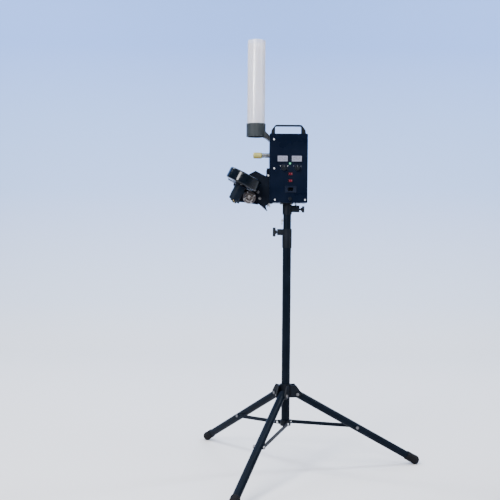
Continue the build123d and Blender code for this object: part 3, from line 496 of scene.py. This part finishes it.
def carved(bm, cutter):
    """bm with the cutter's shape taken out of it."""
    made = []
    for part, name in ((bm, "stock"), (cutter, "cutter")):
        mesh = bpy.data.meshes.new(name)
        part.to_mesh(mesh)
        part.free()
        made.append(bpy.data.objects.new(name, mesh))
        bpy.context.scene.collection.objects.link(made[-1])
    stock, tool = made
    cut = stock.modifiers.new("cut", "BOOLEAN")
    cut.operation, cut.solver, cut.object, cut.use_self = "DIFFERENCE", "EXACT", tool, True
    shape = bpy.data.meshes.new_from_object(stock.evaluated_get(bpy.context.evaluated_depsgraph_get()))
    result = bmesh.new()
    result.from_mesh(shape)
    for thing in (stock, tool):
        bpy.data.objects.remove(thing)
    bpy.data.meshes.remove(shape)
    return result


def bar(bm, centre, size):
    """Adds a box to bm and returns its vertices."""
    matrix = Matrix.Translation(centre) @ Matrix.Diagonal((*size, 1))
    return bmesh.ops.create_cube(bm, size=1, matrix=matrix)["verts"]


panel_heads, lug_heads, bracket_heads, socket_heads = -0.0576, -0.0536, -0.0876, 1.1834
head_faces = [((x, panel_heads, z), "Y") for x, z in
              ((-0.063, 1.467), (-0.061, 1.3395), (-0.057, 1.203), (0.075, 1.203))]
head_faces += [((-0.0868, lug_heads, 1.309), "Y")]
head_faces += [((bracket_heads, y, z), "X") for y in (-0.03, 0.03) for z in (1.215, 1.33)]
head_faces += [((x, y, socket_heads), "Z") for x in (-0.024, 0.016) for y in (-0.024, 0.024)]
crosses = bmesh.new()
for centre, facing in head_faces:
    for long_way in "XYZ".replace(facing, ""):
        size = [cross_deep if axis == facing else cross_long if axis == long_way else cross_wide
                for axis in "XYZ"]
        bar(crosses, centre, size)
screws = piece("housing_screws_cross", carved(cad_copy("housing_screws"), crosses), zinc_plate, "head",
               30)
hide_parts("housing_screws")

# ---------------------------------------------------------------- carry handle
# A flat bridge handle in black glass-filled nylon, moulded in one piece. Two screws from inside the
# housing hold its feet down.
eased("carry_handle", moulded_nylon, 0.0006)

# ---------------------------------------------------------------- wheel speed meters
# Two panel meters that clip in from the front. Each is a moulded black bezel round a pale
# liquid-crystal display with a three-digit reading.
digit_height, digit_width, stroke, ink = 0.013, 0.0068, 0.0013, 0.00025
first_digit, digit_pitch, half_window = 0.0155, 0.0118, 0.0215
segments_of = {"0": "abcdef", "6": "acdefg", "2": "abdeg"}
dress(knob_plastic, "speed_meters")
display = finish("display_glass", (0.20, 0.21, 0.28), (0.26, 0.27, 0.35), 0.10, 0.16, grain=300,
                 depth=0.000004, mottle=50, coat=0.3)
dress(display, "meter_windows")
display_ink = finish("display_ink", (0.012, 0.012, 0.020), (0.020, 0.020, 0.030), 0.3, 0.4)


def digit(bm, number, left, bottom, y):
    """Adds one seven-segment digit, facing -Y."""
    w, h, t = digit_width, digit_height, stroke
    spots = {
        "a": ((w / 2, h), (w - t, t)), "d": ((w / 2, 0), (w - t, t)), "g": ((w / 2, h / 2), (w - t, t)),
        "f": ((0, h * 0.75), (t, h / 2 - t)), "b": ((w, h * 0.75), (t, h / 2 - t)),
        "e": ((0, h * 0.25), (t, h / 2 - t)), "c": ((w, h * 0.25), (t, h / 2 - t)),
    }
    for name in segments_of[number]:
        (x, z), (wide, tall) = spots[name]
        bar(bm, (left + x, y, bottom + z), (wide, ink, tall))


low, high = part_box("meter_windows")
bm = bmesh.new()
for middle, reading in ((low.x + half_window, "060"), (high.x - half_window, "062")):
    for place_in_row, number in enumerate(reading):
        left = middle - first_digit + place_in_row * digit_pitch
        digit(bm, number, left, (low.z + high.z) / 2 - digit_height / 2, low.y - ink / 2)
piece("meter_digits", bm, display_ink, "head")

# ---------------------------------------------------------------- speed knobs
# Fluted knobs on potentiometer spindles, each with a moulded-in pointer line. The panel has a printed
# mark for slow and one for fast beside each, and a ring of fine ticks.
eased("speed_knob_1", knob_plastic, 0.0003)
eased("speed_knob_2", knob_plastic, 0.0003)
dress(zinc_plate, "speed_potentiometers")
white_ink = finish("white_ink", (0.60, 0.61, 0.62), (0.72, 0.73, 0.74), 0.45, 0.6, mottle=200)
grey_ink = finish("grey_ink", (0.10, 0.11, 0.14), (0.14, 0.15, 0.18), 0.45, 0.6, mottle=200)
mark_radius, mark_length, mark_wide, mark_turn = 0.0178, 0.0042, 0.0021, 63
tick_radius, tick_length, tick_wide = 0.0165, 0.0018, 0.0006
pointer_size, pointer_rise, pointer_sunk = (0.0012, 0.0006, 0.0078), 0.006, 0.0007
panel_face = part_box("front_panel")[0].y


def dial(name, spindle, marks, material):
    """Printed strokes round a spindle: (turn in degrees, radius, length, width) for each."""
    bm = bmesh.new()
    for turn, radius, length, wide in marks:
        stroke_verts = bar(bm, (0, 0, radius), (wide, ink, length))
        bmesh.ops.rotate(bm, verts=stroke_verts, cent=(0, 0, 0),
                         matrix=Matrix.Rotation(radians(turn), 3, "Y"))
    bmesh.ops.translate(bm, verts=bm.verts, vec=(spindle.x, panel_face - ink / 2, spindle.z))
    piece(name, bm, material, "head")


for number, print_ink in ((1, white_ink), (2, grey_ink)):
    spindle = Vector(joints[f"speed_knob_{number}_turn"]["pos_m"])
    ends = [(turn, mark_radius, mark_length, mark_wide) for turn in (-mark_turn, mark_turn)]
    dial(f"dial_marks_{number}", spindle, ends, print_ink)
    ticks = [(turn, tick_radius, tick_length, tick_wide) for turn in range(-120, 121, 30)]
    dial(f"dial_ticks_{number}", spindle, ticks, grey_ink)
    low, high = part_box(f"speed_knob_{number}")
    bm = bmesh.new()
    bar(bm, (spindle.x, low.y + pointer_sunk, spindle.z + pointer_rise), pointer_size)
    piece(f"knob_pointer_{number}", bm, grey_ink, f"speed_knob_{number}")

# ---------------------------------------------------------------- power light
# A green indicator lamp: a clear green dome of moulded acrylic with a light behind it, pressed into
# its hole between the two knobs.
lens = finish("green_lens", (0.08, 0.36, 0.20), (0.14, 0.50, 0.28), 0.12, 0.2, mottle=300, coat=0.6)
shader = lens.node_tree.nodes["Principled BSDF"]
shader.inputs["Emission Color"].default_value = (0.30, 0.80, 0.45, 1)
shader.inputs["Emission Strength"].default_value = 0.12
dress(lens, "power_light")

# ---------------------------------------------------------------- rocker switches
# Two red see-saw switches in moulded black bodies that snap into the panel. A small steel pin carries
# each rocker, and its face has a printed stroke at one end and a ring at the other.
dress(knob_plastic, "switch_bodies")
red_plastic = finish("red_plastic", (0.060, 0.002, 0.008), (0.105, 0.004, 0.013), 0.18, 0.28, grain=900,
                     depth=0.00001, mottle=80, gloss=0.4)
rest_turn, face_slope, face_depth, half_key = radians(7), atan2(0.0016, 0.008), 0.0036, 0.004
stroke_size, ring_inner, ring_outer = (0.0007, ink, 0.0036), 0.0010, 0.0016


def joined(bm, other):
    """Adds another shape to bm and frees it."""
    mesh = bpy.data.meshes.new("joined")
    other.to_mesh(mesh)
    other.free()
    bm.from_mesh(mesh)
    bpy.data.meshes.remove(mesh)


for number in (1, 2):
    eased(f"rocker_switch_{number}", red_plastic, 0.0004, angle=15)
    pivot = Vector(joints[f"rocker_{number}_tip"]["pos_m"])
    bm = bmesh.new()
    bar(bm, (0, -ink / 2, 0), stroke_size)
    lie = Matrix.Translation((-half_key, -face_depth, 0)) @ Matrix.Rotation(face_slope, 4, "Z")
    bmesh.ops.transform(bm, matrix=lie, verts=bm.verts)
    profile = [(ring_inner, 0), (ring_outer, 0), (ring_outer, ink), (ring_inner, ink)]
    ring = turned(profile, (0, 0, 0), (0, -1, 0), 32, closed=True)
    lie = Matrix.Translation((half_key, -face_depth, 0)) @ Matrix.Rotation(-face_slope, 4, "Z")
    bmesh.ops.transform(ring, matrix=lie, verts=ring.verts)
    joined(bm, ring)
    turn = Matrix.Translation(pivot) @ Matrix.Rotation(rest_turn, 4, "Z")
    bmesh.ops.transform(bm, matrix=turn, verts=bm.verts)
    piece(f"rocker_marks_{number}", bm, grey_ink, f"rocker_{number}")

# ---------------------------------------------------------------- power inlet and fuse
# A moulded mains inlet with three flat blades in its recess, set in the panel's lower half, and a
# screw-cap fuse holder with a slotted cap below it.
inlet_plastic = finish("inlet_plastic", (0.003, 0.006, 0.016), (0.006, 0.010, 0.022), 0.34, 0.46,
                       grain=1500, depth=0.00003, gloss=0.12)
eased("power_inlet", inlet_plastic, 0.0004)
eased("fuse_holder", knob_plastic, 0.0004)

# ---------------------------------------------------------------- inside the housing
# The speed controller's glass-fibre board stands on pillars, the mains supply is in a plated steel
# case, and the gate's linear actuator is held by the back wall, with its nylon bush in the left wall.
board_green = finish("board_green", (0.010, 0.07, 0.03), (0.016, 0.10, 0.04), 0.3, 0.45, mottle=120)
dress(board_green, "control_board")
dress(zinc_plate, "power_supply")
turned_steel = finish("turned_steel", (0.30, 0.29, 0.30), (0.46, 0.45, 0.46), 0.28, 0.45, grain=700,
                      depth=0.00002, mottle=70, metallic=1.0)
dress(turned_steel, "gate_actuator")
dress(white_nylon, "gate_rod_bush")

# ---------------------------------------------------------------- tube cup
# A printed cup in dark grey on a black arm, bolted to the housing's left wall. Its layers show as fine
# lines round it.
layer_height, layer_depth, grey_part, colour_change = 0.0006, 0.00006, 0.083, 0.004
cup_print = finish("cup_print", (0.013, 0.018, 0.023), (0.020, 0.026, 0.031), 0.42, 0.56, mottle=20,
                   dust=0.02, gloss=0.25)
tree = cup_print.node_tree
shader = tree.nodes["Principled BSDF"]
place = tree.nodes.new("ShaderNodeTexCoord").outputs["Object"]
split = tree.nodes.new("ShaderNodeSeparateXYZ")
tree.links.new(place, split.inputs[0])
phase = arithmetic(tree, "MULTIPLY", split.outputs["Z"], 2 * pi / layer_height)
layers = arithmetic(tree, "SINE", phase, 0)
bump(tree, shader, layers, layer_depth, after=shader.inputs["Normal"].links[0].from_socket)
arm_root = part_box("tube_cup")[0].x + grey_part
arm = remap(tree, split.outputs["X"], arm_root, arm_root + colour_change)
grey = shader.inputs["Base Color"].links[0].from_socket
tree.links.new(blend_colours(tree, arm, grey, (0.004, 0.006, 0.010, 1)), shader.inputs["Base Color"])
eased("tube_cup", cup_print, 0.0006)

# ---------------------------------------------------------------- feed tube
# Extruded clear acrylic, 2 mm thick, cut to length, with its ends flame-polished round. It stands on
# the cup's shelf and lifts out.
tube_low, tube_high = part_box("ball_tube")
tube_outer, tube_wall, lip_round = (tube_high.x - tube_low.x) / 2, 0.002, 0.0008
tube_length = tube_high.z - tube_low.z
acrylic = bpy.data.materials.new("clear_acrylic")
acrylic.use_nodes = True
tree = acrylic.node_tree
shader = tree.nodes["Principled BSDF"]
shader.inputs["Transmission Weight"].default_value = 0.70
shader.inputs["IOR"].default_value = 1.49
place = tree.nodes.new("ShaderNodeTexCoord").outputs["Object"]
haze = use(tree, skin_effect, place, Grain=40.0, Mottle=25.0, Deep=(1.0, 0.94, 0.92, 1),
           Pale=(1.0, 0.98, 0.97, 1), Smooth=0.06, Rough=0.18)
tree.links.new(haze.outputs["Colour"], shader.inputs["Base Color"])
tree.links.new(haze.outputs["Roughness"], shader.inputs["Roughness"])
bump(tree, shader, haze.outputs["Height"], 0.00006)
inner = tube_outer - tube_wall
outside, inside, top = tube_outer - lip_round, inner + lip_round, tube_length - lip_round
profile, lip_centres = [], [(outside, top), (inside, top), (inside, lip_round), (outside, lip_round)]
for quarter, (radius, height) in enumerate(lip_centres):
    profile += corner(radius, height, lip_round, 90 * quarter, 90 * quarter + 90, 4)
tube_foot = Vector(((tube_low.x + tube_high.x) / 2, (tube_low.y + tube_high.y) / 2, tube_low.z))
bm = turned(profile, tube_foot, (0, 0, 1), 128, closed=True)
made = piece("acrylic_tube", bm, acrylic, "ball_tube")
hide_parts("ball_tube")

# ---------------------------------------------------------------- gate
# A ground stainless rod from the actuator, with a soft yellow rubber bumper pushed onto its end. It
# stands in the ball's way and holds back the next one.
ground_steel = finish("ground_steel", (0.15, 0.16, 0.18), (0.24, 0.25, 0.27), 0.18, 0.30, grain=1600,
                      depth=0.00001, mottle=50, metallic=1.0)
dress(ground_steel, "gate_rod")
bumper = finish("bumper_yellow", (0.31, 0.28, 0.08), (0.42, 0.38, 0.13), 0.35, 0.5, grain=700,
                depth=0.00005, mottle=60, dust=0.02)
shader = bumper.node_tree.nodes["Principled BSDF"]
shader.inputs["Subsurface Weight"].default_value = 0.3
shader.inputs["Subsurface Scale"].default_value = 0.004
eased("gate_tip", bumper, 0.0005)

# ---------------------------------------------------------------- launcher bracket and cradle
# Two pressed steel parts in textured black. The cradle tilts in the bracket on two bolts, and two more
# lock it through the arc slots.
press_paint = finish("press_paint", (0.001, 0.002, 0.006), (0.003, 0.005, 0.010), 0.40, 0.54,
                     grain=900, depth=0.00007, scuffs=0.25, dust=0.006, gloss=0.06)
eased("launcher_bracket", press_paint, 0.0004)
eased("launcher_cradle", press_paint, 0.0004)
dress(dull_zinc, "tilt_bolts")

# ---------------------------------------------------------------- wheels
# A solid rubber tyre, ground true and polished by use, on a machined aluminium rim. The grinding
# leaves fine rings round the tread.
tyre_radius, tyre_half, rim_radius, shoulder, inner_edge = 0.075, 0.025, 0.048, 0.007, 0.002
ring_pitch, ring_depth = 0.0018, 0.000004
spin_axis = Vector(joints["near_wheel_spin"]["axis"])
launch_tilt = atan2(spin_axis.x, spin_axis.z)
tyre_rubber = finish("tyre_rubber", (0.001, 0.003, 0.006), (0.003, 0.005, 0.009), 0.10, 0.16,
                     grain=2200, depth=0.00001, mottle=40, dust=0.004, gloss=0.16)
tree = tyre_rubber.node_tree
shader = tree.nodes["Principled BSDF"]
flat = tree.nodes.new("ShaderNodeMapping")
flat.inputs["Rotation"].default_value = (0, -launch_tilt, 0)
tree.links.new(tree.nodes.new("ShaderNodeTexCoord").outputs["Object"], flat.inputs["Vector"])
split = tree.nodes.new("ShaderNodeSeparateXYZ")
tree.links.new(flat.outputs[0], split.inputs[0])
phase = arithmetic(tree, "MULTIPLY", split.outputs["Z"], 2 * pi / ring_pitch)
rings = arithmetic(tree, "SINE", phase, 0)
bump(tree, shader, rings, ring_depth, after=shader.inputs["Normal"].links[0].from_socket)
machined = finish("machined_aluminium", (0.10, 0.10, 0.11), (0.17, 0.17, 0.18), 0.30, 0.44, grain=900,
                  depth=0.00002, mottle=60, metallic=1.0)
for side in ("near", "far"):
    spin = joints[f"{side}_wheel_spin"]
    profile = corner(tyre_radius - shoulder, tyre_half - shoulder, shoulder, 0, 90, 6)
    profile += corner(rim_radius + inner_edge, tyre_half - inner_edge, inner_edge, 90, 180, 3)
    profile += corner(rim_radius + inner_edge, inner_edge - tyre_half, inner_edge, 180, 270, 3)
    profile += corner(tyre_radius - shoulder, shoulder - tyre_half, shoulder, 270, 360, 6)
    bm = turned(profile, spin["pos_m"], spin["axis"], 128, closed=True)
    made = piece(f"{side}_tyre", bm, tyre_rubber, f"{side}_wheel")
    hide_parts(f"{side}_wheel_tyre")
    eased(f"{side}_wheel_hub", machined, 0.0005)

# ---------------------------------------------------------------- wheel motors
# A drawn steel can under each wheel, painted satin black, with a crimped end cap, cooling slots, two
# brass tags and a bearing boss.
motor_black = finish("motor_black", (0.002, 0.005, 0.011), (0.005, 0.009, 0.017), 0.46, 0.60,
                     grain=1200, depth=0.00002, mottle=30, dust=0.006, gloss=0.06)
brass = finish("brass", (0.50, 0.36, 0.14), (0.66, 0.50, 0.22), 0.28, 0.42, grain=500, depth=0.00001,
               mottle=120, metallic=1.0)
can_radius, can_top, can_bottom, boss_bottom, cap_edge = 0.024, -0.0321, -0.0988, -0.1048, -0.086
boss_radius, spigot_radius, spigot_rise, crimp_deep, bead_deep = 0.0100, 0.0079, 0.0042, 0.0007, 0.0006
shaft_hole, shaft_hole_deep = 0.0042, 0.02
slot_count, slot_radius, slot_size = 6, 0.0155, (0.006, 0.0022, 0.004)


def slots_round(count, radius, size, height):
    """Boxes in a ring, each size[0] long outwards."""
    bm = bmesh.new()
    for step in range(count):
        box = bar(bm, (radius, 0, height), size)
        bmesh.ops.rotate(bm, verts=box, cent=(0, 0, 0),
                         matrix=Matrix.Rotation(2 * pi * step / count, 3, "Z"))
    return bm


for side in ("near", "far"):
    spin = joints[f"{side}_wheel_spin"]
    profile = [(0, boss_bottom)] + corner(0.0088, boss_bottom + 0.0012, 0.0012, -90, 0, 3)
    profile += [(boss_radius, can_bottom)]
    profile += corner(can_radius - 0.0030, can_bottom + 0.0020, 0.0020, -90, 0, 4)
    profile += [(can_radius - 0.0010, cap_edge - 0.0006), (can_radius, cap_edge),
                (can_radius, cap_edge + 0.0016), (can_radius - crimp_deep, cap_edge + 0.0022),
                (can_radius - crimp_deep, cap_edge + 0.0034), (can_radius, cap_edge + 0.0040)]
    profile += [(can_radius, can_top - 0.0080), (can_radius - bead_deep, can_top - 0.0074),
                (can_radius - bead_deep, can_top - 0.0062), (can_radius, can_top - 0.0056)]
    profile += corner(can_radius - 0.0015, can_top - 0.0015, 0.0015, 0, 90, 4)
    profile += [(spigot_radius, can_top), (spigot_radius, can_top + spigot_rise),
                (shaft_hole, can_top + spigot_rise), (shaft_hole, can_top - shaft_hole_deep),
                (0, can_top - shaft_hole_deep)]
    can = turned(profile, (0, 0, 0), (0, 0, 1), 72)
    can = carved(can, slots_round(slot_count, slot_radius, slot_size, can_bottom))
    made = piece(f"{side}_motor_can", placed(can, spin["pos_m"], spin["axis"]), motor_black, "launcher")
    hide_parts("wheel_motors")
    tags = bmesh.new()
    for way in (-1, 1):
        bar(tags, (0.0012, way * 0.0130, can_bottom - 0.0024), (0.0046, 0.0006, 0.0052))
    bmesh.ops.bevel(tags, geom=tags.edges[:], offset=0.0002, affect="EDGES", segments=1, profile=0.5,
                    material=-1)
    piece(f"{side}_motor_tags", placed(tags, spin["pos_m"], spin["axis"]), brass, "launcher")

# ---------------------------------------------------------------- kicker gearmotor
# A bare gearmotor on the near cheek: a die-cast gearbox with four cover screws, and a nickel-plated
# motor whose dark end cap has slots, two tags and a bright bearing boss.
gear_metal = finish("gear_metal", (0.10, 0.085, 0.085), (0.21, 0.19, 0.19), 0.30, 0.50, grain=600,
                    depth=0.00008, mottle=70, metallic=1.0)
nickel = finish("nickel", (0.32, 0.29, 0.29), (0.46, 0.43, 0.42), 0.20, 0.34, grain=700, depth=0.00002,
                mottle=90, metallic=1.0)
cap_brown = finish("cap_brown", (0.012, 0.008, 0.008), (0.022, 0.016, 0.015), 0.35, 0.5, mottle=120)
turn_joint = joints["kicker_turn"]
gear_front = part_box("kicker_motor")[1].y
gear_face = Vector((turn_joint["pos_m"][0], gear_front, turn_joint["pos_m"][2]))
gear_radius, gear_deep, motor_radius, motor_deep = 0.028, 0.022, 0.019, 0.020
profile = [(shaft_hole, 0), (gear_radius, 0), (gear_radius, 0.0060), (gear_radius - 0.0008, 0.0066),
           (gear_radius - 0.0008, 0.0078), (gear_radius, 0.0084)]
profile += corner(gear_radius - 0.0020, gear_deep - 0.0020, 0.0020, 0, 90, 5)
profile += [(motor_radius + 0.0022, gear_deep), (motor_radius + 0.0016, gear_deep - 0.0012),
            (motor_radius - 0.001, gear_deep - 0.0012), (shaft_hole, gear_deep - 0.0012)]
bm = turned(profile, gear_face, (0, -1, 0), 72, closed=True)
made = piece("kicker_gearbox", bm, gear_metal, "launcher")
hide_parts("kicker_motor")
base, top = gear_deep - 0.0012, gear_deep + motor_deep
profile = [(0, base), (motor_radius, base), (motor_radius, top - 0.0060),
           (motor_radius - bead_deep, top - 0.0056), (motor_radius - bead_deep, top - 0.0046),
           (motor_radius, top - 0.0042)]
profile += corner(motor_radius - 0.0012, top - 0.0012, 0.0012, 0, 90, 4)
profile += [(motor_radius - 0.0032, top), (motor_radius - 0.0034, top - 0.0012), (0, top - 0.0012)]
piece("kicker_motor_can", turned(profile, gear_face, (0, -1, 0), 72), nickel, "launcher")
profile = [(0.0078, top - 0.0011), (0.0078, top - 0.0002), (motor_radius - 0.0042, top - 0.0002),
           (motor_radius - 0.0036, top - 0.0011)]
cap = carved(turned(profile, (0, 0, 0), (0, 0, 1), 72, closed=True),
             slots_round(4, 0.0118, (0.0050, 0.0030, 0.0030), top))
piece("kicker_motor_cap", placed(cap, gear_face, (0, -1, 0)), cap_brown, "launcher")
profile = [(0, top - 0.0011), (0.0070, top - 0.0011)] + corner(0.0060, top + 0.0019, 0.0010, 0, 90, 3)
profile += [(0.0030, top + 0.0029), (0.0026, top + 0.0020), (0, top + 0.0020)]
piece("kicker_motor_boss", turned(profile, gear_face, (0, -1, 0), 48), nickel, "launcher")
bm = bmesh.new()
for way in (-1, 1):
    bar(bm, (0.0112, way * 0.0060, top + 0.0010), (0.0006, 0.0028, 0.0036))
piece("kicker_motor_tags", placed(bm, gear_face, (0, -1, 0)), brass, "launcher")
heads, head_circle = bmesh.new(), 0.0235
for step in range(4):
    turn = radians(45 + 90 * step)
    centre = Vector((head_circle * cos(turn), head_circle * sin(turn), gear_deep))
    profile = [(0, 0), (0.0030, 0)] + corner(0.0022, 0.0011, 0.0008, 0, 90, 3)
    profile += [(0.0014, 0.0019), (0.0012, 0.0009), (0, 0.0009)]
    joined(heads, turned(profile, centre, (0, 0, 1), 24))
lie = Matrix.Rotation(launch_tilt, 4, "Y")
placed(heads, (0, 0, 0), (0, -1, 0))
bmesh.ops.transform(heads, matrix=Matrix.Translation(gear_face) @ lie, verts=heads.verts)
piece("gearbox_screws", heads, zinc_plate, "launcher")

# ---------------------------------------------------------------- kicker arm
# A ground steel crank on the gearmotor's shaft. It swings up through the floor's slot and pushes the
# ball to the wheels.
eased("kicker_arm", ground_steel, 0.0004)
